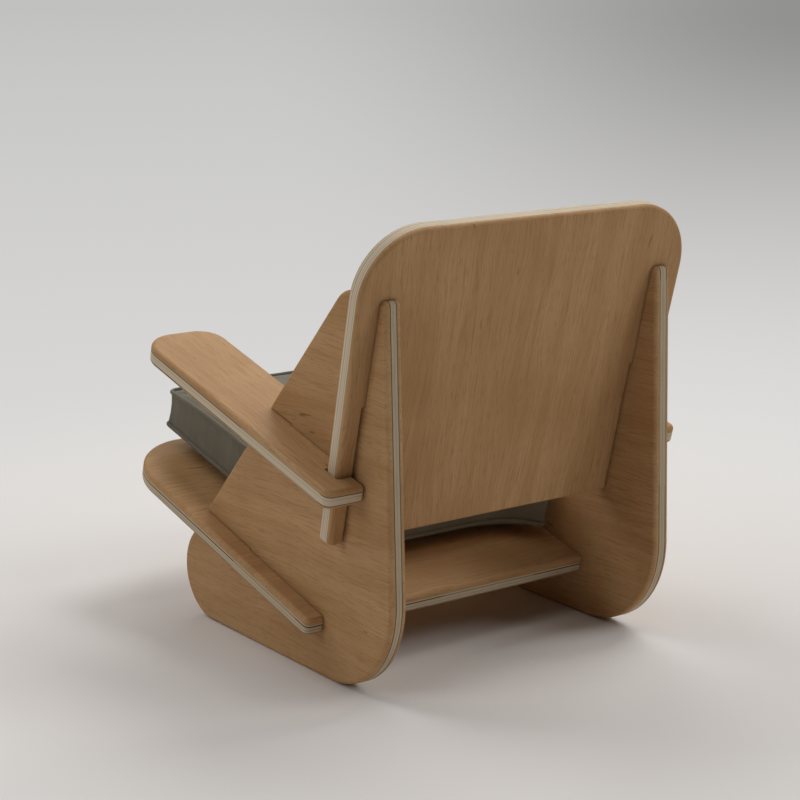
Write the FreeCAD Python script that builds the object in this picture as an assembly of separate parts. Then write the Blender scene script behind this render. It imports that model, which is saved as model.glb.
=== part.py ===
import FreeCAD, Part
import math
import os

Vector = FreeCAD.Vector
os.makedirs("parts", exist_ok=True)

# Every panel
ply = 33.0                     # thickness
edge_round = 7.0               # round-over along its outline
slot_play = 2.5                # gap between a slot's wall and the panel that stands in it
lap_gap = 0.3                  # gap between pieces that rest on each other
tilt = 14.7                    # degrees that seat and arms rise to the front
same_place = 0.1               # points closer than this are one place

# Side panels, upright; their sharp heel is the point that the seat is set out from
side_spread = 600.0            # between the two outer faces
side_foot = 761.0              # along the floor, sharp toe to sharp heel
side_top = 112.0               # along the top, sharp wing to sharp prong
rear_lean = 1.9                # degrees that the rear edge leans forward
toe_radius = 87.0
heel_radius = 173.0
wing_height = 670.0            # top of the wing in front of the back
wing_radius = 55.0
prong_height = 661.0           # top of the prong behind the back
prong_radius = 8.0

# Seat panel, set out from its top rear edge
seat_setback = 192.0           # in front of the heel
seat_height = 108.7            # above the floor
seat_outset = 34.5             # beyond the side's outer face
seat_depth = 651.5
seat_front_radius = 126.0
seat_rear_radius = 10.0
seat_lap = 236.0               # depth of its slots from the rear edge

# Back panel, set out from its bottom rear edge
back_lean = 13.8               # degrees that it leans
back_play = 5.0                # gap between its slots' walls and the sides
back_overhang = 20.1           # its bottom rear edge behind the seat's rear edge
back_rise = 148.4              # and above the seat
back_length = 540.0
back_foot_outset = 29.8        # beyond the side's outer face, at its bottom corners
back_head_outset = 40.6        # and at its top corners
back_head_radius = 115.0
back_foot_radius = 9.0
back_lap = 247.0               # depth of its slots from the bottom edge

# Arms, parallel to the seat
arm_rise = 274.6               # top of the arm above the seat
arm_width = 151.0
arm_outset = 75.0              # beyond the side's outer face
arm_front = 555.3              # front end ahead of the seat's rear edge
arm_finger = 33.4              # finger that hooks behind the back's ear
arm_outer_radius = 60.0
arm_inner_radius = 45.0
arm_rear_radius = 14.0
finger_radius = 6.0
arm_lap = 154.6                # depth of its slot from the back's front face

# Loose cushion, measured corner to corner
cushion_side_gap = 35.0        # to each side panel
cushion_setback = 74.0         # its rear corners ahead of the seat's rear edge
cushion_overhang = 8.5         # its front corners ahead of the seat's front edge
cushion_box = 70.0             # height between the two seams
crown_top = 26.0
crown_bottom = 30.0
crown_reach = 190.0            # distance over which the crown rises from the seam
crown_steps = 3                # sections that a crown is drawn through after the seam
side_draw = 8.0                # how far each edge is drawn in between its corners
front_draw = 20.0
rear_draw = 55.0
cushion_corner_radius = 10.0
cloth = 3.0
welt_radius = 4.0

# Values that follow
side_outer = side_spread / 2
side_inner = side_outer - ply
back_rear = -back_overhang
back_front = back_rear + ply
back_top = back_rise + back_length
lap_height = back_rise + back_lap
arm_outer = side_outer + arm_outset
arm_inner = arm_outer - arm_width
lean_shift = (arm_rise - ply / 2 - back_rise) * math.tan(math.radians(tilt - back_lean))
rear_at_arm = back_rear + lean_shift
front_at_arm = back_front + lean_shift
arm_rear = rear_at_arm - slot_play - arm_finger
arm_lap_end = front_at_arm + arm_lap
arm_bottom = arm_rise - ply
cushion_width = 2 * (side_inner - cushion_side_gap)
cushion_depth = seat_depth + cushion_overhang - cushion_setback
bottom_seam = lap_gap + crown_bottom
top_seam = bottom_seam + cushion_box
reach = side_foot + wing_height


def rounded_wire(corners):
    """Closed wire through (point, radius) corners, each turned on an arc tangent to both sides."""
    ends = []
    edges = []
    for index, (corner, radius) in enumerate(corners):
        back = (corners[index - 1][0] - corner).normalize()
        ahead = (corners[(index + 1) % len(corners)][0] - corner).normalize()
        half = back.getAngle(ahead) / 2
        middle = (back + ahead).normalize()
        start = corner + back * (radius / math.tan(half))
        finish = corner + ahead * (radius / math.tan(half))
        crest = corner + middle * (radius / math.sin(half) - radius)
        edges.append(Part.Arc(start, crest, finish).toShape())
        ends.append((start, finish))
    for index, (start, finish) in enumerate(ends):
        edges.append(Part.LineSegment(ends[index - 1][1], start).toShape())
    return Part.Wire(Part.__sortEdges__(edges))


def panel(corners, direction):
    """Plywood panel with its outline rounded over on both faces."""
    face = Part.Face(rounded_wire(corners))
    solid = face.extrude(direction * ply)
    rims = []
    for edge in solid.Edges:
        heights = [vertex.Point.dot(direction) for vertex in edge.Vertexes]
        if abs(heights[0] - heights[-1]) < same_place:
            rims.append(edge)
    return solid.makeFillet(edge_round, rims)


def block(x_low, x_high, v_low, v_high, h_low, h_high):
    """Block in the seat's own directions: x across, v forward along the seat, h square to it."""
    size = (x_high - x_low, v_high - v_low, h_high - h_low)
    return Part.makeBox(*size, Vector(x_low, -v_high, h_low))


def set_out(shape):
    """Turns a shape from the seat's directions to the chair's and moves it to the seat's rear edge."""
    turned = shape.copy()
    turned.rotate(Vector(0, 0, 0), Vector(1, 0, 0), -tilt)
    turned.translate(Vector(0, -seat_setback, seat_height))
    return turned


def lean_back(shape):
    """Turns a shape that is square to the seat to the back's own lean, about its bottom rear edge."""
    turned = shape.copy()
    turned.rotate(Vector(0, back_overhang, back_rise), Vector(1, 0, 0), tilt - back_lean)
    return turned


def mirrored(shape):
    return shape.mirror(Vector(0, 0, 0), Vector(1, 0, 0))


def cut_both_sides(shape, tool):
    return shape.cut(tool).cut(mirrored(tool))


def side_panel():
    prong = -prong_height * math.tan(math.radians(rear_lean))
    wing = prong - side_top
    outline = [
        (Vector(side_inner, -side_foot, 0), toe_radius),
        (Vector(side_inner, 0, 0), heel_radius),
        (Vector(side_inner, prong, prong_height), prong_radius),
        (Vector(side_inner, wing, wing_height), wing_radius),
    ]
    board = panel(outline, Vector(1, 0, 0))
    across = (side_inner - ply, side_outer + ply)
    seat_slot = block(*across, seat_lap - lap_gap, reach, -ply - lap_gap, slot_play)
    arm_slot = block(*across, arm_lap_end - lap_gap, reach, arm_bottom - lap_gap, arm_rise + slot_play)
    back_slot = block(*across, back_rear - slot_play, back_front + slot_play, lap_height - lap_gap, reach)
    for slot in (seat_slot, arm_slot, lean_back(back_slot)):
        board = board.cut(set_out(slot))
    return board


def seat_panel():
    half = side_outer + seat_outset
    outline = [
        (Vector(-half, 0, -ply), seat_rear_radius),
        (Vector(half, 0, -ply), seat_rear_radius),
        (Vector(half, -seat_depth, -ply), seat_front_radius),
        (Vector(-half, -seat_depth, -ply), seat_front_radius),
    ]
    board = panel(outline, Vector(0, 0, 1))
    slot = block(side_inner - slot_play, side_outer + slot_play, -ply, seat_lap, -2 * ply, ply)
    return set_out(cut_both_sides(board, slot))


def back_panel():
    foot = side_outer + back_foot_outset
    head = side_outer + back_head_outset
    outline = [
        (Vector(-foot, back_overhang, back_rise), back_foot_radius),
        (Vector(foot, back_overhang, back_rise), back_foot_radius),
        (Vector(head, back_overhang, back_top), back_head_radius),
        (Vector(-head, back_overhang, back_top), back_head_radius),
    ]
    board = panel(outline, Vector(0, -1, 0))
    slot = block(side_inner - back_play, side_outer + back_play,
                 back_rear - ply, back_front + ply, back_rise - ply, lap_height)
    return set_out(lean_back(cut_both_sides(board, slot)))


def left_arm():
    outline = [
        (Vector(arm_outer, -arm_rear, arm_bottom), arm_rear_radius),
        (Vector(arm_outer, -arm_front, arm_bottom), arm_outer_radius),
        (Vector(arm_inner, -arm_front, arm_bottom), arm_inner_radius),
        (Vector(arm_inner, -arm_rear, arm_bottom), arm_rear_radius),
    ]
    board = panel(outline, Vector(0, 0, 1))
    heights = (arm_bottom - ply, arm_rise + ply)
    slot = block(side_inner - slot_play, side_outer + slot_play, arm_rear - ply, arm_lap_end, *heights)
    inner_leg_end = block(arm_inner - ply, side_outer, arm_rear - ply, front_at_arm + slot_play, *heights)
    widening = (back_head_outset - back_foot_outset) / back_length
    ear = side_outer + back_foot_outset + (arm_rise - back_rise) * widening
    notch = block(side_outer, ear + slot_play, rear_at_arm - slot_play, front_at_arm + slot_play, *heights)
    board = board.cut(slot).cut(inner_leg_end).cut(notch)
    tip = [edge for edge in board.Edges if is_finger_tip(edge)]
    return set_out(board.makeFillet(finger_radius, tip))


def is_finger_tip(edge):
    """Upright edge where the finger's rear end comes up to the side panel."""
    middle = edge.CenterOfMass
    beside_panel = abs(middle.x - side_outer - slot_play) < same_place
    at_rear = abs(-middle.y - arm_rear) < same_place
    return beside_panel and at_rear and abs(middle.z - arm_rise + ply / 2) < same_place


def cushion_wire(inset, height):
    """Cushion outline at a height: four edges drawn in between rounded corners."""
    half_width = cushion_width / 2
    half_depth = cushion_depth / 2
    share_x = 1 - inset / half_width
    share_y = 1 - inset / half_depth
    centre = -cushion_setback - half_depth
    x = half_width - inset
    rear = centre + half_depth - inset
    front = centre - half_depth + inset
    corners = [Vector(-x, front, height), Vector(x, front, height),
               Vector(x, rear, height), Vector(-x, rear, height)]
    waists = [Vector(0, front + front_draw * share_x, height), Vector(x - side_draw * share_y, centre, height),
              Vector(0, rear - rear_draw * share_x, height), Vector(-x + side_draw * share_y, centre, height)]
    arcs = []
    for index, waist in enumerate(waists):
        arcs.append(Part.Arc(corners[index], waist, corners[(index + 1) % len(corners)]).toShape())
    slab = Part.Face(Part.Wire(arcs)).extrude(Vector(0, 0, cloth))
    uprights = [edge for edge in slab.Edges if abs(edge.Vertexes[0].Z - edge.Vertexes[-1].Z) > cloth / 2]
    slab = slab.makeFillet(cushion_corner_radius, uprights)
    lowest = min(slab.Faces, key=lambda face: face.CenterOfMass.z)
    return lowest.OuterWire


def cushion_block(inset, low, high):
    return Part.Face(cushion_wire(inset, low)).extrude(Vector(0, 0, high - low))


def crown(inset, seam, rise):
    """Crown over a seam: sections that rise on a quarter wave as they draw in."""
    sections = []
    for step in range(crown_steps + 1):
        share = step / crown_steps
        lift = rise * math.sin(share * math.pi / 2)
        sections.append(cushion_wire(inset + share * crown_reach, seam + lift))
    return Part.makeLoft(sections, True, False)


def cover(seam, rise):
    """Cloth cover over one crown, a sheet of even depth."""
    outside = crown(0, seam, rise)
    inside = outside.copy()
    inside.translate(Vector(0, 0, -math.copysign(cloth, rise)))
    return outside.cut(inside)


def boxing():
    return cushion_block(0, bottom_seam, top_seam).cut(cushion_block(cloth, bottom_seam, top_seam))


def core():
    inset = cloth + lap_gap
    upper = crown(inset, top_seam - inset, crown_top)
    lower = crown(inset, bottom_seam + inset, -crown_bottom)
    middle = cushion_block(inset, bottom_seam + inset, top_seam - inset)
    return middle.fuse([upper, lower]).removeSplitter()


def welt(seam):
    """Round corded seam just outside the boxing."""
    path = cushion_wire(0, seam).makeOffset2D(welt_radius + lap_gap)
    start = path.Edges[0]
    heading = start.tangentAt(start.FirstParameter)
    ring = Part.Wire(Part.makeCircle(welt_radius, start.valueAt(start.FirstParameter), heading))
    return path.makePipeShell([ring], True, False)


nodes = {
    "left_side_panel": side_panel(),
    "seat_panel": seat_panel(),
    "back_panel": back_panel(),
    "left_arm": left_arm(),
    "cushion_top_cover": set_out(cover(top_seam, crown_top)),
    "cushion_bottom_cover": set_out(cover(bottom_seam, -crown_bottom)),
    "cushion_boxing": set_out(boxing()),
    "cushion_core": set_out(core()),
    "cushion_top_welt": set_out(welt(top_seam)),
    "cushion_bottom_welt": set_out(welt(bottom_seam)),
}
nodes["right_side_panel"] = mirrored(nodes["left_side_panel"])
nodes["right_arm"] = mirrored(nodes["left_arm"])

# The origin is on the floor below the middle of the whole chair
middle = Part.makeCompound(list(nodes.values())).optimalBoundingBox().Center
for name, shape in nodes.items():
    solid = shape.Solids[0]
    solid.translate(Vector(0, -middle.y, 0))
    solid.exportStep("parts/" + name + ".step")
    print(name, len(shape.Solids), solid.isValid(), round(solid.Volume))
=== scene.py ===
import math
import bpy
import numpy as np
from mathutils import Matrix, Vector


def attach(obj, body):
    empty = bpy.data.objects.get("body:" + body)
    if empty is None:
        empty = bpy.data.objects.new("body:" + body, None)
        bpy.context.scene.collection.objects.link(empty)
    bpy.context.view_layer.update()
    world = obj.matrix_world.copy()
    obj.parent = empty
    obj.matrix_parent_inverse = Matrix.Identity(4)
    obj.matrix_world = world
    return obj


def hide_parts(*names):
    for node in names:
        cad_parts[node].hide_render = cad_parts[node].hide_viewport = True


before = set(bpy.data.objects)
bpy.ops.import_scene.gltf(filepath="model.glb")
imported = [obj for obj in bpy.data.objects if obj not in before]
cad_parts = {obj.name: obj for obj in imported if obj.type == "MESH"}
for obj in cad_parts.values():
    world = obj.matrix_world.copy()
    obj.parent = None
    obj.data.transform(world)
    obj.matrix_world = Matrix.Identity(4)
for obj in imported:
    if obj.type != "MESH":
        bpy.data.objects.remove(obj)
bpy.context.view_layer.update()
scene = bpy.context.scene
scene.view_settings.view_transform = "Standard"

# the seat's own directions: across, forward along the seat, square to it
seatTilt = math.radians(14.7)
seatOrigin = np.array((0.0, 0.22542, 0.1087))       # top rear edge of the seat panel
acrossAxis = np.array((1.0, 0.0, 0.0))
forwardAxis = np.array((0.0, -math.cos(seatTilt), math.sin(seatTilt)))
squareAxis = np.array((0.0, math.sin(seatTilt), math.cos(seatTilt)))


def onSeat(across, forward, square):
    # point = origin + across, forward and square steps along the seat's directions
    steps = [np.asarray(step)[..., None] for step in (across, forward, square)]
    return seatOrigin + steps[0] * acrossAxis + steps[1] * forwardAxis + steps[2] * squareAxis


# shader building blocks

def addNode(tree, kind, **settings):
    node = tree.nodes.new(kind)
    for name, value in settings.items():
        setattr(node, name, value)
    return node


def feed(tree, socket, value):
    if isinstance(value, bpy.types.NodeSocket):
        tree.links.new(value, socket)
    else:
        socket.default_value = value


def calc(tree, operation, *values, clamp=False):
    node = addNode(tree, "ShaderNodeMath", operation=operation, use_clamp=clamp)
    for socket, value in zip(node.inputs, values):
        feed(tree, socket, value)
    return node.outputs[0]


def dot(tree, vector, axis):
    node = addNode(tree, "ShaderNodeVectorMath", operation="DOT_PRODUCT")
    feed(tree, node.inputs[0], vector)
    feed(tree, node.inputs[1], axis)
    return node.outputs["Value"]


def stretch(tree, vector, scale):
    node = addNode(tree, "ShaderNodeVectorMath", operation="MULTIPLY")
    feed(tree, node.inputs[0], vector)
    feed(tree, node.inputs[1], scale)
    return node.outputs[0]


def combine(tree, x, y, z):
    node = addNode(tree, "ShaderNodeCombineXYZ")
    for socket, value in zip(node.inputs, (x, y, z)):
        feed(tree, socket, value)
    return node.outputs[0]


def ramp(tree, value, low, high, start=0.0, end=1.0):
    node = addNode(tree, "ShaderNodeMapRange", interpolation_type="SMOOTHSTEP")
    for socket, setting in zip(node.inputs, (value, low, high, start, end)):
        feed(tree, socket, setting)
    return node.outputs[0]


def cloud(tree, vector, scale, detail=2.0, rough=0.5, distort=0.0):
    node = addNode(tree, "ShaderNodeTexNoise")
    feed(tree, node.inputs["Vector"], vector)
    settings = {"Scale": scale, "Detail": detail, "Roughness": rough, "Distortion": distort}
    for name, value in settings.items():
        node.inputs[name].default_value = value
    return node.outputs["Fac"]


def tint(tree, share, first, second, mode="MIX"):
    node = addNode(tree, "ShaderNodeMix", data_type="RGBA", blend_type=mode)
    feed(tree, node.inputs[0], share)
    feed(tree, node.inputs[6], first)
    feed(tree, node.inputs[7], second)
    return node.outputs[2]


def startGroup(name, takes, gives):
    tree = bpy.data.node_groups.new(name, "ShaderNodeTree")
    for label, kind in takes:
        tree.interface.new_socket(label, in_out="INPUT", socket_type="NodeSocket" + kind)
    for label, kind in gives:
        tree.interface.new_socket(label, in_out="OUTPUT", socket_type="NodeSocket" + kind)
    return tree, tree.nodes.new("NodeGroupInput").outputs, tree.nodes.new("NodeGroupOutput").inputs


def placeGroup(tree, group, **values):
    node = addNode(tree, "ShaderNodeGroup", node_tree=group)
    for name, value in values.items():
        feed(tree, node.inputs[name], value)
    return node.outputs


def startMaterial(name):
    material = bpy.data.materials.new(name)
    material.use_nodes = True
    return material, material.node_tree, material.node_tree.nodes["Principled BSDF"]


veneer = {
    "pale": (0.548, 0.336, 0.164, 1),
    "honey": (0.484, 0.281, 0.128, 1),
    "russet": (0.372, 0.194, 0.077, 1),
    "pore": (0.155, 0.072, 0.027, 1),
    "wander": 0.030,      # metres that the grain lines wander sideways
}


def makeVeneer():
    # grain position (along, across, through) in metres -> colour, roughness and height of rotary-cut veneer
    tree, takes, gives = startGroup("veneerFigure", [("Grain", "Vector")],
                                    [("Color", "Color"), ("Roughness", "Float"), ("Height", "Float")])
    grain = takes["Grain"]
    split = addNode(tree, "ShaderNodeSeparateXYZ")
    feed(tree, split.inputs[0], grain)
    along, across, through = split.outputs
    drift = calc(tree, "SUBTRACT", cloud(tree, stretch(tree, grain, (2.2, 5.0, 3.0)), 1.0, 2.0), 0.5)
    bent = calc(tree, "MULTIPLY_ADD", drift, veneer["wander"] * 2, across)
    lines = combine(tree, along, bent, through)
    bands = cloud(tree, stretch(tree, lines, (1.6, 34.0, 34.0)), 1.0, 3.0, 0.55)
    fibres = cloud(tree, stretch(tree, lines, (11.0, 260.0, 260.0)), 1.0, 3.0, 0.6)
    dashes = cloud(tree, stretch(tree, lines, (38.0, 620.0, 620.0)), 1.0, 1.0, 0.5)
    marks = cloud(tree, stretch(tree, lines, (13.0, 70.0, 70.0)), 1.0, 2.0, 0.5, 0.4)
    patches = cloud(tree, grain, 5.5, 2.0)
    colour = tint(tree, ramp(tree, bands, 0.32, 0.70), veneer["pale"], veneer["honey"])
    colour = tint(tree, ramp(tree, patches, 0.38, 0.78, 0.0, 0.45), colour, veneer["russet"])
    colour = tint(tree, ramp(tree, fibres, 0.48, 0.74, 0.0, 0.75), colour, veneer["russet"])
    pores = ramp(tree, dashes, 0.58, 0.72, 0.0, 0.75)
    colour = tint(tree, pores, colour, veneer["russet"])
    colour = tint(tree, ramp(tree, marks, 0.70, 0.78, 0.0, 0.6), colour, veneer["pore"])
    feed(tree, gives["Color"], colour)
    feed(tree, gives["Roughness"], calc(tree, "MULTIPLY_ADD", fibres, 0.16, 0.46))
    feed(tree, gives["Height"], calc(tree, "SUBTRACT", calc(tree, "MULTIPLY", fibres, 0.5), pores))
    return tree


layers = {
    "birch": (0.580, 0.475, 0.330, 1),
    "birchDark": (0.450, 0.362, 0.242, 1),
    # paler edge tone, partly the ply's own core and partly painted light on edges that catch the lamps
    "paleCoreAndLight": (0.740, 0.620, 0.460, 1),
    "glue": (0.045, 0.026, 0.010, 1),
    "lineWidth": 0.0011,
    "soft": 0.0006,       # how softly the bare edge begins and ends
    "middleWidth": 0.8,   # the middle glue line against the outer two
    "middleDark": 0.22,
}


def makeLayers():
    # depth below the panel's face in metres -> colour of the bare edge and how much of it shows
    tree, takes, gives = startGroup(
        "plyLayers",
        [("Depth", "Float"), ("Place", "Vector"), ("From", "Float"), ("To", "Float"), ("Pale", "Float"),
         ("First", "Float"), ("Middle", "Float"), ("Last", "Float"),
         ("FirstDark", "Float"), ("LastDark", "Float")],
        [("Color", "Color"), ("Bare", "Float"), ("Groove", "Float")])
    depth, place = takes["Depth"], takes["Place"]
    soft, lineWidth = layers["soft"], layers["lineWidth"]

    def line(centre, width):
        away = calc(tree, "ABSOLUTE", calc(tree, "SUBTRACT", depth, centre))
        return ramp(tree, away, width * 0.5, width * 1.3, 1.0, 0.0)

    low = ramp(tree, calc(tree, "SUBTRACT", depth, takes["From"]), -soft, soft)
    high = ramp(tree, calc(tree, "SUBTRACT", depth, takes["To"]), -soft, soft, 1.0, 0.0)
    bare = calc(tree, "MULTIPLY", low, high)
    # the cut fibres of the inner plies show as short streaks along the edge
    lengthwise = dot(tree, place, (23.0, 17.0, 19.0))
    inward = calc(tree, "MULTIPLY", depth, 900.0)
    streaks = cloud(tree, combine(tree, lengthwise, inward, 0.0), 1.0, 3.0, 0.6)
    colour = tint(tree, ramp(tree, streaks, 0.35, 0.75), layers["birch"], layers["birchDark"])
    # the pale share per panel is partly painted light: panels whose edges catch the lamps get a paler edge
    colour = tint(tree, takes["Pale"], colour, layers["paleCoreAndLight"])
    # glue lines: the outer two are darker in some stretches than in others, the middle one is always faint
    strong = ramp(tree, cloud(tree, place, 2.3, 0.0), 0.44, 0.45, 0.55, 1.0)
    first = calc(tree, "MULTIPLY", line(takes["First"], lineWidth), takes["FirstDark"])
    last = calc(tree, "MULTIPLY", line(takes["Last"], lineWidth), takes["LastDark"])
    outer = calc(tree, "MULTIPLY", calc(tree, "MAXIMUM", first, last), strong)
    middle = line(takes["Middle"], lineWidth * layers["middleWidth"])
    middle = calc(tree, "MULTIPLY", middle, layers["middleDark"])
    groove = calc(tree, "MAXIMUM", outer, middle)
    feed(tree, gives["Color"], tint(tree, groove, colour, layers["glue"]))
    feed(tree, gives["Bare"], bare)
    feed(tree, gives["Groove"], calc(tree, "MULTIPLY", groove, bare))
    return tree


veneerGroup = makeVeneer()
layersGroup = makeLayers()


def plyMaterial(name, values):
    material, tree, shader = startMaterial(name)
    place = addNode(tree, "ShaderNodeTexCoord").outputs["Object"]
    depth = calc(tree, "SUBTRACT", values["face"], dot(tree, place, values["through"]))
    along = calc(tree, "ADD", dot(tree, place, values["along"]), values["shift"][0])
    across = calc(tree, "ADD", dot(tree, place, values["across"]), values["shift"][1])
    figure = placeGroup(tree, veneerGroup, Grain=combine(tree, along, across, depth))
    first, middle, last = values["lines"]
    edge = placeGroup(tree, layersGroup, Depth=depth, Place=place, Pale=values["pale"],
                      From=values["bare"][0], To=values["bare"][1],
                      First=first, Middle=middle, Last=last,
                      FirstDark=values["dark"][0], LastDark=values["dark"][1])
    feed(tree, shader.inputs["Base Color"], tint(tree, edge["Bare"], figure["Color"], edge["Color"]))
    rough = calc(tree, "MULTIPLY_ADD", edge["Bare"], 0.18, figure["Roughness"])
    feed(tree, shader.inputs["Roughness"], rough)
    bump = addNode(tree, "ShaderNodeBump")
    bump.inputs["Strength"].default_value = 0.25
    bump.inputs["Distance"].default_value = 0.0004
    feed(tree, bump.inputs["Height"], calc(tree, "SUBTRACT", figure["Height"], edge["Groove"]))
    feed(tree, shader.inputs["Normal"], bump.outputs[0])
    shader.inputs["Specular IOR Level"].default_value = 0.10
    return material


def dress(node, material):
    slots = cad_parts[node].data.materials
    slots.clear()
    slots.append(material)


# where the panels' reference faces lie
thickness = 0.033
sideReach = 0.300                      # half of the width over both sides
armRise = 0.2746                       # arms' top above the seat's top
backPlace = (0.0, -0.0201, 0.1484)     # on the back's rear face, in steps from the seat's origin
backLean = math.radians(13.8)
upright = (0.0, 0.0, 1.0)
level = (0.0, -1.0, 0.0)
sideways = (1.0, 0.0, 0.0)
forward = tuple(forwardAxis)
square = tuple(squareAxis)
backUp = (0.0, math.sin(backLean), math.cos(backLean))
backRear = (0.0, math.cos(backLean), -math.sin(backLean))
leftFace, rightFace = sideReach, thickness - sideReach
seatFace = float(seatOrigin @ squareAxis)
armFace = seatFace + armRise
backFace = float(onSeat(*backPlace) @ np.array(backRear))

# each panel: grain direction, reference face, then where the bare edge and its glue lines are below that face,
# how dark the outer two lines are, and how pale the edge is; the paleness is partly the ply's own pale core
# and partly painted light, made paler on the panels whose edges catch the lamps
panels = {
    "left_side_panel": {
        "along": level, "across": upright, "through": sideways, "face": leftFace, "shift": (0.0, 0.0),
        "bare": (0.0104, 0.0247), "lines": (0.0112, 0.0173, 0.0234), "dark": (0.85, 0.75), "pale": 0.0,
    },
    "right_side_panel": {
        "along": level, "across": upright, "through": sideways, "face": rightFace, "shift": (1.7, 0.4),
        "bare": (0.0098, 0.0260), "lines": (0.0106, 0.0173, 0.0248), "dark": (0.85, 0.75), "pale": 0.0,
    },
    "seat_panel": {
        "along": sideways, "across": forward, "through": square, "face": seatFace, "shift": (3.1, 1.3),
        "bare": (0.0118, 0.0300), "lines": (0.0155, 0.0225, 0.0285), "dark": (1.0, 0.7), "pale": 0.1,
    },
    "back_panel": {
        "along": backUp, "across": sideways, "through": backRear, "face": backFace, "shift": (5.2, 2.6),
        "bare": (0.0092, 0.0275), "lines": (0.0128, 0.0172, 0.0222), "dark": (0.30, 0.35), "pale": 0.85,
    },
    "left_arm": {
        "along": forward, "across": sideways, "through": square, "face": armFace, "shift": (7.3, 3.2),
        "bare": (0.0100, 0.0282), "lines": (0.0108, 0.0168, 0.0270), "dark": (0.85, 0.8), "pale": 0.5,
    },
    "right_arm": {
        "along": forward, "across": sideways, "through": square, "face": armFace, "shift": (9.4, 4.1),
        "bare": (0.0100, 0.0282), "lines": (0.0108, 0.0168, 0.0270), "dark": (0.85, 0.8), "pale": 0.5,
    },
}
for panelName, panelValues in panels.items():
    dress(panelName, plyMaterial("ply_" + panelName, panelValues))
print("plywood dressed:", len(panels), "panels")


# seat cushion

cushion = {
    "halfWidth": 0.232,
    "rear": 0.074,
    "front": 0.660,
    "sideDraw": 0.006,
    "frontDraw": 0.020,
    "rearDraw": 0.057,
    "rearPower": 5.0,       # how square the drawn-in rear edge is
    "bottomSeam": 0.030,    # height of the lower seam at mid edge, and how far its corners lift
    "bottomLift": 0.002,
    "topSeam": 0.109,
    "topDrop": 0.011,
    "startCrown": 0.017,
    "bottomDraw": 0.02,     # share of the width that the underside draws in
    "clothHeight": 0.09,    # of the boxing, as its weave is laid out
    "cells": (78, 98, 14),  # across, forward, up the boxing
    "pressure": 2.5,
    "steps": 20,            # of the filling
    "cap": 0.007,           # farthest that the filling pushes a point of the sheets, and of the boxing
    "boxingCap": 0.0020,
    "tuck": 0.0042,         # how far the boxing is drawn in between its seams before it is filled
    "lowest": 0.0006,       # clear of the seat panel
    "ripple": 0.0007,       # height of the boxing's ripples, the top's puckers and its uneven sag
    "pucker": 0.0004,
    "sag": 0.0014,
    "weltRadius": 0.0040,
    "weltOut": 0.0014,
}


def cushionPlan(s, t):
    # outline in plan: the side and front edges bow in as parabolas, the rear edge as 1 - |s|^5
    rear = cushion["rear"] + cushion["rearDraw"] * (1 - np.abs(s) ** cushion["rearPower"])
    front = cushion["front"] - cushion["frontDraw"] * (1 - s * s)
    across = s * (cushion["halfWidth"] - cushion["sideDraw"] * (1 - t * t))
    return across, rear + (t + 1) / 2 * (front - rear)


def cushionSeam(s, t):
    # seams are level along the edges and close up towards the corners as the cube of the way there
    corner = np.abs(s * t) ** 3
    low = cushion["bottomSeam"] + cushion["bottomLift"] * corner
    high = cushion["topSeam"] - cushion["topDrop"] * corner
    return low, high


def meshFromArrays(name, points, faces, uvs):
    mesh = bpy.data.meshes.new(name)
    mesh.from_pydata(points.tolist(), [], faces.tolist())
    layer = mesh.uv_layers.new(name="cloth")
    layer.data.foreach_set("uv", uvs.astype(np.float32).ravel())
    mesh.polygons.foreach_set("use_smooth", np.ones(len(faces), bool))
    mesh.update()
    piece = bpy.data.objects.new(name, mesh)
    scene.collection.objects.link(piece)
    return piece


def outwardOf(path):
    # level direction out of a closed path, square to the step from the point before to the point after
    outward = np.cross(squareAxis, np.roll(path, -1, axis=0) - np.roll(path, 1, axis=0))
    return outward / np.linalg.norm(outward, axis=1, keepdims=True)


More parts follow.
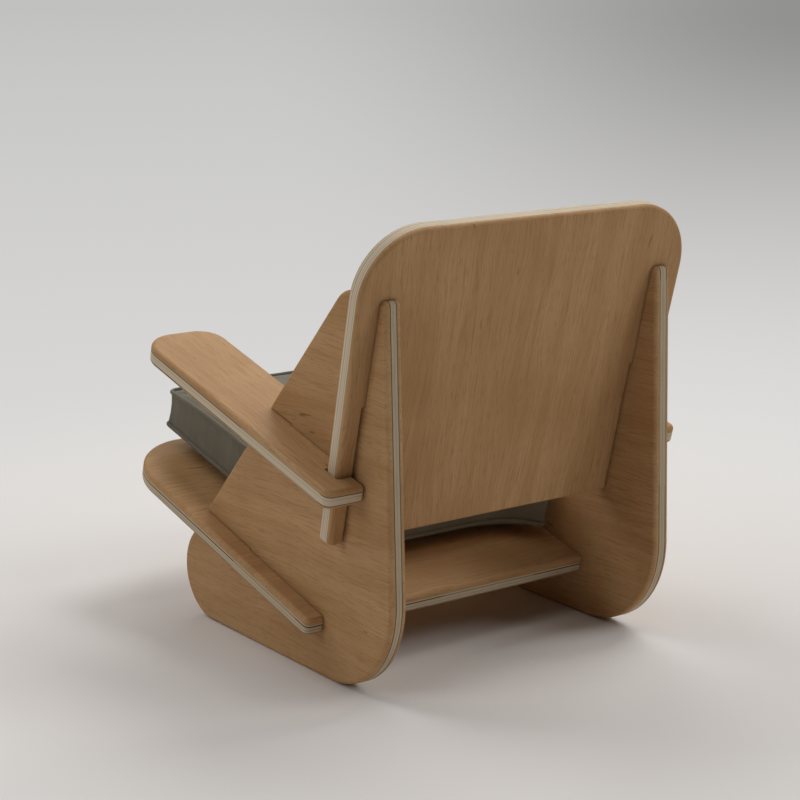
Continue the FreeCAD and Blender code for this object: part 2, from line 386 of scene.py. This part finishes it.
def cushionGrid():
    # closed skin: a top and a bottom sheet over -1..1 in s and t, joined by a band round their edge;
    # the top rises by the dome ((1 - s^4)(1 - t^4))^0.4, and the bottom falls to the seat by a flatter one
    countS, countT, countB = cushion["cells"]
    s, t = np.meshgrid(np.linspace(-1, 1, countS + 1), np.linspace(-1, 1, countT + 1))
    across, ahead = cushionPlan(s, t)
    low, high = cushionSeam(s, t)
    dome = ((1 - s ** 4) * (1 - t ** 4)) ** 0.4
    top = onSeat(across, ahead, high + cushion["startCrown"] * dome)
    belly = np.minimum(1, 1.25 * ((1 - s ** 8) * (1 - t ** 8)) ** 0.6)
    fall = (cushion["lowest"] * 3 - low) * belly
    bottom = onSeat(across * (1 - cushion["bottomDraw"] * belly), ahead, low + fall)
    index = np.arange(s.size).reshape(s.shape)
    rim = np.concatenate([index[0, :-1], index[:-1, -1], index[-1, :0:-1], index[:0:-1, 0]])
    rise = np.linspace(0, 1, countB + 1)[1:-1, None, None]
    flatTop, flatBottom = top.reshape(-1, 3), bottom.reshape(-1, 3)
    outward = outwardOf(flatTop[rim])
    band = flatBottom[rim][None] * (1 - rise) + flatTop[rim][None] * rise
    band -= cushion["tuck"] * (4 * rise * (1 - rise)) ** 0.5 * outward[None]
    size = s.size
    points = np.concatenate([flatTop, flatBottom, band.reshape(-1, 3)])
    quads = np.stack([index[:-1, :-1], index[:-1, 1:], index[1:, 1:], index[1:, :-1]], -1).reshape(-1, 4)
    bandIndex = np.arange(band.shape[0] * len(rim)).reshape(-1, len(rim)) + 2 * size
    rows = np.vstack([rim + size, bandIndex, rim])
    nextRows = np.roll(rows, -1, axis=1)
    boxing = np.stack([rows[:-1], rows[1:], nextRows[1:], nextRows[:-1]], -1).reshape(-1, 4)
    # sheets are laid out flat in metres, the band by its length round the rim
    sheet = np.stack([across, ahead], -1).reshape(-1, 2)
    steps = np.linalg.norm(np.roll(flatTop[rim], -1, axis=0) - flatTop[rim], axis=1)
    run = np.concatenate([[0], np.cumsum(steps)])
    rowHeight = np.linspace(0, cushion["clothHeight"], countB + 1)
    corner = np.stack(np.meshgrid(run, rowHeight), -1)
    bandUv = np.stack([corner[:-1, :-1], corner[1:, :-1], corner[1:, 1:], corner[:-1, 1:]], 2)
    faces = np.concatenate([quads[:, ::-1], quads + size, boxing])
    laid = (sheet[quads[:, ::-1]], sheet[quads] + 1.0, bandUv)
    uvs = np.concatenate([part.reshape(-1, 2) for part in laid])
    return points, faces, uvs, rim, s, t


def fillCushion(piece, rim, size):
    # cloth under pressure with both seams held, so that the panels swell between them
    seams = piece.vertex_groups.new(name="seams")
    seams.add(np.concatenate([rim, rim + size]).tolist(), 1.0, "REPLACE")
    cloth = piece.modifiers.new("filling", "CLOTH")
    cloth.settings.quality = 6
    cloth.settings.mass = 0.3
    cloth.settings.tension_stiffness = 12
    cloth.settings.compression_stiffness = 12
    cloth.settings.shear_stiffness = 4
    cloth.settings.bending_stiffness = 0.4
    cloth.settings.use_pressure = True
    cloth.settings.uniform_pressure_force = cushion["pressure"]
    cloth.settings.vertex_group_mass = "seams"
    cloth.settings.effector_weights.gravity = 0
    cloth.collision_settings.use_collision = False
    cloth.point_cache.frame_end = cushion["steps"]
    for step in range(1, cushion["steps"] + 1):
        scene.frame_set(step)
    swollen = piece.evaluated_get(bpy.context.evaluated_depsgraph_get()).to_mesh()
    moved = readPoints(swollen)
    piece.modifiers.remove(cloth)
    piece.vertex_groups.remove(seams)
    scene.frame_set(1)
    return moved


def readPoints(mesh):
    flat = np.empty(len(mesh.vertices) * 3)
    mesh.vertices.foreach_get("co", flat)
    return flat.reshape(-1, 3)


def writePoints(mesh, points):
    mesh.vertices.foreach_set("co", points.astype(np.float32).ravel())
    mesh.update()


def settle(points, start, sheets):
    # no point moves farther than its cap, and the underside lies flat where it meets the seat
    shift = points - start
    far = np.linalg.norm(shift, axis=1, keepdims=True)
    cap = np.where(np.arange(len(points)) < sheets, cushion["cap"], cushion["boxingCap"])[:, None]
    points = start + shift * np.minimum(1, cap / np.maximum(far, 1e-9))
    height = (points - seatOrigin) @ squareAxis
    return points + np.maximum(0, cushion["lowest"] - height)[:, None] * squareAxis


def wrinkle(points, rim, s, t):
    # sewn cloth puckers: ripples run in from the seams and die away over a few centimetres
    countB = cushion["cells"][2]
    size = s.size
    steps = np.linalg.norm(np.roll(points[rim], -1, axis=0) - points[rim], axis=1)
    run = np.concatenate([[0], np.cumsum(steps)[:-1]])
    wave = np.sin(run * 231 + 1.9 * np.sin(run * 37) + 0.7)
    wave += 0.7 * np.sin(run * 129 + 2.3 * np.sin(run * 23))
    rise = np.linspace(0, 1, countB + 1)[1:-1, None]
    nearSeam = np.exp(-rise / 0.22) + np.exp(-(1 - rise) / 0.22)
    ripple = cushion["ripple"] * wave[None] * nearSeam * np.minimum(1, 9 * rise * (1 - rise))
    points[2 * size:] += (ripple[..., None] * outwardOf(points[rim])[None]).reshape(-1, 3)
    halfLength = (cushion["front"] - cushion["rear"]) / 2
    edge = np.minimum((1 - np.abs(s)) * cushion["halfWidth"], (1 - np.abs(t)) * halfLength).ravel()
    spread = np.arctan2(t, s).ravel()
    pucker = np.sin(spread * 31 + 1.5 * np.sin(spread * 7)) * np.exp(-edge / 0.020)
    pucker *= np.minimum(1, edge / 0.006)
    sag = np.sin(s * 2.3 + 0.8).ravel() * np.cos(t * 3.1 + 0.4).ravel() * np.minimum(1, edge / 0.05)
    points[:size] += (cushion["pucker"] * pucker + cushion["sag"] * sag)[:, None] * squareAxis
    return points


def tube(name, path, radius, sides=12):
    # circle of the given radius carried round a closed path, square to its direction
    heading = np.roll(path, -1, axis=0) - np.roll(path, 1, axis=0)
    heading /= np.linalg.norm(heading, axis=1, keepdims=True)
    outward = outwardOf(path)
    over = np.cross(outward, heading)
    turn = np.linspace(0, 2 * np.pi, sides, endpoint=False)
    ring = np.cos(turn)[None, :, None] * outward[:, None] + np.sin(turn)[None, :, None] * over[:, None]
    points = (path[:, None] + radius * ring).reshape(-1, 3)
    index = np.arange(len(path) * sides).reshape(len(path), sides)
    nextRing, nextSide = np.roll(index, -1, axis=0), np.roll(index, -1, axis=1)
    faces = np.stack([index, nextRing, np.roll(nextRing, -1, axis=1), nextSide], -1).reshape(-1, 4)
    run = np.concatenate([[0], np.cumsum(np.linalg.norm(np.roll(path, -1, axis=0) - path, axis=1))])
    girth = np.linspace(0, 2 * np.pi * radius, sides + 1)
    corner = np.stack(np.meshgrid(run, girth, indexing="ij"), -1)
    uvs = np.stack([corner[:-1, :-1], corner[1:, :-1], corner[1:, 1:], corner[:-1, 1:]], 2).reshape(-1, 2)
    return meshFromArrays(name, points, faces, uvs)


def weltPath(seam):
    # seam line pushed out by the cord's own offset and eased round the corners by a running mean
    path = seam + cushion["weltOut"] * outwardOf(seam)
    for _ in range(3):
        path = (np.roll(path, 1, axis=0) + path * 2 + np.roll(path, -1, axis=0)) / 4
    return path


weave = {
    "warp": (0.168, 0.150, 0.108, 1),
    "weft": (0.134, 0.118, 0.082, 1),
    "worn": (0.225, 0.204, 0.152, 1),
    "pitch": 0.0016,
}


def makeWeave():
    # cloth position in metres -> colour and height of a plain weave with slubs
    tree, takes, gives = startGroup("plainWeave", [("Cloth", "Vector"), ("Turn", "Float")],
                                    [("Color", "Color"), ("Roughness", "Float"), ("Height", "Float")])
    turned = addNode(tree, "ShaderNodeVectorRotate", rotation_type="Z_AXIS")
    feed(tree, turned.inputs["Vector"], takes["Cloth"])
    feed(tree, turned.inputs["Angle"], takes["Turn"])
    split = addNode(tree, "ShaderNodeSeparateXYZ")
    feed(tree, split.inputs[0], turned.outputs[0])
    turns = 2 * math.pi / weave["pitch"]
    over = calc(tree, "SINE", calc(tree, "MULTIPLY", split.outputs[0], turns))
    under = calc(tree, "SINE", calc(tree, "MULTIPLY", split.outputs[1], turns))
    threads = calc(tree, "MULTIPLY_ADD", calc(tree, "MULTIPLY", over, under), 0.5, 0.5)
    slubA = cloud(tree, stretch(tree, turned.outputs[0], (28.0, 420.0, 0.0)), 1.0, 2.0)
    slubB = cloud(tree, stretch(tree, turned.outputs[0], (420.0, 28.0, 0.0)), 1.0, 2.0)
    patches = cloud(tree, turned.outputs[0], 14.0, 3.0, 0.55)
    colour = tint(tree, threads, weave["weft"], weave["warp"])
    slubs = calc(tree, "MAXIMUM", slubA, slubB)
    colour = tint(tree, ramp(tree, slubs, 0.56, 0.76, 0.0, 0.15), colour, weave["worn"])
    colour = tint(tree, ramp(tree, patches, 0.42, 0.72, 0.0, 0.3), colour, weave["worn"])
    feed(tree, gives["Color"], colour)
    feed(tree, gives["Roughness"], calc(tree, "MULTIPLY_ADD", threads, -0.1, 0.92))
    feed(tree, gives["Height"], threads)
    return tree


weaveGroup = makeWeave()


def clothMaterial(name, turn, bumpStrength):
    material, tree, shader = startMaterial(name)
    place = addNode(tree, "ShaderNodeUVMap", uv_map="cloth").outputs[0]
    cloth = placeGroup(tree, weaveGroup, Cloth=place, Turn=turn)
    feed(tree, shader.inputs["Base Color"], cloth["Color"])
    feed(tree, shader.inputs["Roughness"], cloth["Roughness"])
    bump = addNode(tree, "ShaderNodeBump")
    bump.inputs["Strength"].default_value = bumpStrength
    bump.inputs["Distance"].default_value = 0.0001
    feed(tree, bump.inputs["Height"], cloth["Height"])
    feed(tree, shader.inputs["Normal"], bump.outputs[0])
    shader.inputs["Specular IOR Level"].default_value = 0.25
    shader.inputs["Sheen Weight"].default_value = 0.18
    shader.inputs["Sheen Roughness"].default_value = 0.5
    return material


def makeCushion():
    start, faces, uvs, rim, s, t = cushionGrid()
    cover = meshFromArrays("cushionCover", start, faces, uvs)
    points = start
    points = settle(fillCushion(cover, rim, s.size), start, 2 * s.size)
    farthest = float(np.linalg.norm(points - start, axis=1).max())
    print("cushion filled, farthest move mm:", round(1000 * farthest, 1))
    points = wrinkle(points, rim, s, t)
    writePoints(cover.data, points)
    smooth = cover.modifiers.new("smooth", "SUBSURF")
    smooth.levels = smooth.render_levels = 1
    cover.data.materials.append(clothMaterial("cushionCloth", 0.0, 0.5))
    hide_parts("cushion_top_cover", "cushion_boxing", "cushion_bottom_cover", "cushion_core")
    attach(cover, "cushion")
    weltCloth = clothMaterial("weltCloth", math.pi / 4, 0.4)    # cut on the bias
    welts = (("cushionTopWelt", "cushion_top_welt", 0), ("cushionBottomWelt", "cushion_bottom_welt", s.size))
    for name, node, first in welts:
        welt = tube(name, weltPath(points[rim + first]), cushion["weltRadius"])
        welt.data.materials.append(weltCloth)
        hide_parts(node)
        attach(welt, "cushion")


makeCushion()
print("cushion made")


# stage, light and camera

stage = {
    "paper": (0.800, 0.768, 0.738, 1),
    "bright": (0.725, 0.716, 0.702, 1),   # backdrop near the chair, then far away on the lit and the dim side
    "dimLeft": (0.533, 0.533, 0.527, 1),
    "dimRight": (0.275, 0.275, 0.270, 1),
    "reach": 60.0,
    "worldColor": (0.96, 0.98, 1.0, 1),
    "worldStrength": 0.04,
}


def makeFloor():
    reach = stage["reach"]
    mesh = bpy.data.meshes.new("studioFloor")
    corners = np.array([(-1, -1, 0), (1, -1, 0), (1, 1, 0), (-1, 1, 0)]) * reach
    mesh.from_pydata(corners.tolist(), [], [(0, 1, 2, 3)])
    floor = bpy.data.objects.new("studioFloor", mesh)
    scene.collection.objects.link(floor)
    material, tree, shader = startMaterial("studioPaper")
    place = addNode(tree, "ShaderNodeTexCoord").outputs["Object"]
    length = addNode(tree, "ShaderNodeVectorMath", operation="LENGTH")
    feed(tree, length.inputs[0], place)
    away = length.outputs["Value"]
    shader.inputs["Base Color"].default_value = stage["paper"]
    shader.inputs["Roughness"].default_value = 0.85
    shader.inputs["Specular IOR Level"].default_value = 0.1
    # far paper glows to the camera and in reflections as a backdrop of painted light, and lights the chair as
    # paper
    turn = math.radians(camera["azimuth"])
    rightward = dot(tree, place, (math.cos(turn), math.sin(turn), 0.0))
    side = ramp(tree, calc(tree, "DIVIDE", rightward, away), -0.1, 0.25)
    # the painted light dims with the logarithm of the distance, from about 1 m to 30 m, later and deeper on
    # the dim side
    far = calc(tree, "LOGARITHM", away, math.e)
    litShare = calc(tree, "MULTIPLY_ADD", far, 0.29, 0.015, clamp=True)
    lit = tint(tree, litShare, stage["bright"], stage["dimLeft"])
    dim = tint(tree, ramp(tree, far, 0.4, 3.4), stage["bright"], stage["dimRight"])
    backdrop = addNode(tree, "ShaderNodeEmission")
    feed(tree, backdrop.inputs["Color"], tint(tree, side, lit, dim))
    seen = addNode(tree, "ShaderNodeLightPath")
    direct = calc(tree, "MAXIMUM", seen.outputs["Is Camera Ray"], seen.outputs["Is Glossy Ray"])
    direct = calc(tree, "MAXIMUM", direct, seen.outputs["Is Transmission Ray"])
    share = calc(tree, "MULTIPLY", ramp(tree, away, 0.7, 2.0), direct)
    mix = addNode(tree, "ShaderNodeMixShader")
    feed(tree, mix.inputs[0], share)
    feed(tree, mix.inputs[1], shader.outputs[0])
    feed(tree, mix.inputs[2], backdrop.outputs[0])
    feed(tree, tree.nodes["Material Output"].inputs["Surface"], mix.outputs[0])
    mesh.materials.append(material)


lightAim = (0.0, 0.0, 0.3)
lights = {
    "rightLight": {"place": (-5.4, -0.7, 7.2), "size": 5.0, "power": 285},
    "frontLight": {"place": (2.6, -5.8, 6.4), "size": 5.2, "power": 240},
    "farLight": {"place": (-4.1, -5.6, 5.8), "size": 4.4, "power": 155},
    "topLight": {"place": (-0.3, 1.8, 8.8), "size": 4.5, "power": 100},
    "leftLight": {"place": (7.7, -0.8, 4.5), "size": 4.0, "power": 110},
    "rearRightLight": {"place": (-5.0, 5.0, 5.6), "size": 4.5, "power": 150},
}


def softLight(name, place, size, power):
    lamp = bpy.data.lights.new(name, "AREA")
    lamp.shape = "DISK"
    lamp.size = size
    lamp.energy = power
    light = bpy.data.objects.new(name, lamp)
    light.location = place
    light.rotation_mode = "QUATERNION"
    light.rotation_quaternion = (Vector(lightAim) - Vector(place)).to_track_quat("-Z", "Y")
    scene.collection.objects.link(light)


def makeLight():
    world = bpy.data.worlds.new("studioWorld")
    world.use_nodes = True
    background = world.node_tree.nodes["Background"]
    background.inputs["Color"].default_value = stage["worldColor"]
    background.inputs["Strength"].default_value = stage["worldStrength"]
    scene.world = world
    for name, values in lights.items():
        softLight(name, **values)


camera = {
    "azimuth": 143.764,
    "elevation": 12.958,
    "distance": 3.46516,
    "target": (0.1028, 0.16763, 0.4396),
    "lens": 91.73,
}


def makeCamera():
    lens = bpy.data.cameras.new("photoCamera")
    lens.lens = camera["lens"]
    lens.sensor_width = 36.0
    lens.clip_end = 200.0
    view = bpy.data.objects.new("photoCamera", lens)
    turn, lift = math.radians(camera["azimuth"]), math.radians(camera["elevation"])
    back = Vector((math.sin(turn) * math.cos(lift), -math.cos(turn) * math.cos(lift), math.sin(lift)))
    view.location = Vector(camera["target"]) + back * camera["distance"]
    view.rotation_mode = "QUATERNION"
    view.rotation_quaternion = (-back).to_track_quat("-Z", "Y")
    scene.collection.objects.link(view)
    scene.camera = view


makeFloor()
makeLight()
makeCamera()
print("stage set")
